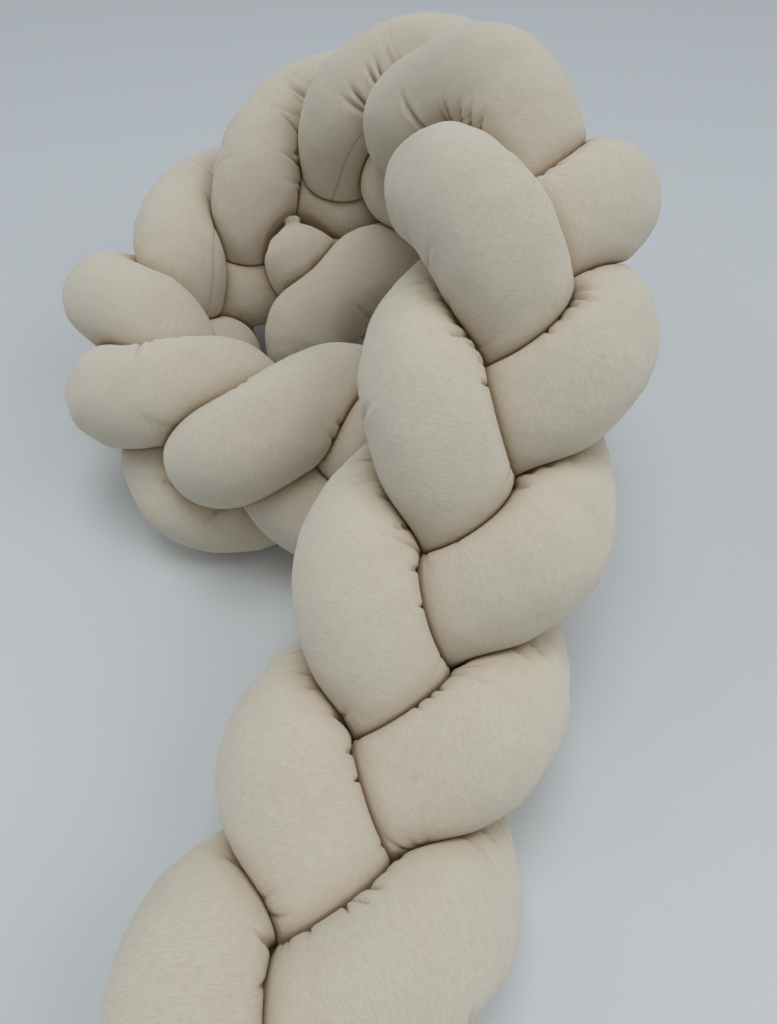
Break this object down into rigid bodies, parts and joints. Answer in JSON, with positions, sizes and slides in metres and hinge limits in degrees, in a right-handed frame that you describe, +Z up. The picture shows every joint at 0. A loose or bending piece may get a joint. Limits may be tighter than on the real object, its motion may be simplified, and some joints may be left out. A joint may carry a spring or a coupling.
{
  "type": "braided crib bumper",
  "caption": "Soft padded bumper plaited from stuffed jersey tubes, half of it coiled on its edge and the free half laid over the coil.",
  "frame": {"origin": "middle of the footprint, on the surface that the bumper lies on", "axes": "+Z up; +Y from the free end on the surface towards the far side of the coil; +X to the right of that"},
  "size_m": [0.5509, 1.0379, 0.376],
  "materials": {
    "strand_a": "matte heathered cotton jersey, beige",
    "strand_b": "matte heathered cotton jersey, beige",
    "strand_c": "matte heathered cotton jersey, beige"
  },
  "bodies": {
    "root": {"strand_a": "strand_a", "strand_b": "strand_b", "strand_c": "strand_c"}
  },
  "joints": []
}
